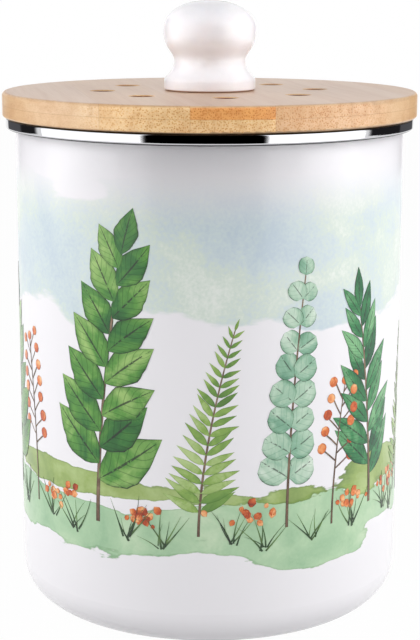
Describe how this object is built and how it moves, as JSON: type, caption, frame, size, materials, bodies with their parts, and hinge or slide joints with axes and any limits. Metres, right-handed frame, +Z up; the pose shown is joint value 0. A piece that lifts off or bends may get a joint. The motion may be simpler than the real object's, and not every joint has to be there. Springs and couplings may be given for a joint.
{
  "type": "compost caddy",
  "caption": "Tall round kitchen compost bin in white enamelled steel with a polished rim band and a lift-off bamboo lid with air vents, ceramic knob, seal and charcoal filter.",
  "frame": {"origin": "on the table under the canister's axis, at the bottom centre of the bounding box", "axes": "+Z up along the canister's axis; -Y is the side that the picture shows; the vents are counted from +X"},
  "size_m": [0.17, 0.17, 0.25],
  "materials": {
    "enamel": "glossy fired white enamel, outside print of pale washes and sprigs",
    "polished_steel": "mirror-polished stainless steel",
    "bamboo": "sanded laminated bamboo, thin matt oil",
    "silicone": "satin moulded silicone",
    "porcelain": "white gloss glaze",
    "brass": "turned",
    "plain_steel": "plain stainless steel",
    "charcoal_felt": "needled felt filled with activated charcoal"
  },
  "bodies": {
    "bin": {"canister": "enamel", "rim_band": "polished_steel"},
    "lid": {"lid_board": "bamboo", "plug_ring": "bamboo", "lid_seal": "silicone", "knob": "porcelain", "knob_insert": "brass", "knob_screw": "plain_steel", "knob_washer": "plain_steel", "filter_pad": "charcoal_felt", "clip_screw_1": "plain_steel", "clip_screw_2": "plain_steel", "clip_screw_3": "plain_steel"},
    "clip_1": {"filter_clip_1": "plain_steel"},
    "clip_2": {"filter_clip_2": "plain_steel"},
    "clip_3": {"filter_clip_3": "plain_steel"}
  },
  "joints": [
    {"name": "lid_lift", "type": "slide", "parent": "bin", "child": "lid", "axis": [0, 0, 1], "range_m": [0, 0.12]},
    {"name": "clip_1_turn", "type": "hinge", "parent": "lid", "child": "clip_1", "pos_m": [0, 0.06525, 0.1939], "axis": [0, 0, 1], "continuous": true},
    {"name": "clip_2_turn", "type": "hinge", "parent": "lid", "child": "clip_2", "pos_m": [-0.05651, -0.03263, 0.1939], "axis": [0, 0, 1], "continuous": true},
    {"name": "clip_3_turn", "type": "hinge", "parent": "lid", "child": "clip_3", "pos_m": [0.05651, -0.03263, 0.1939], "axis": [0, 0, 1], "continuous": true}
  ]
}
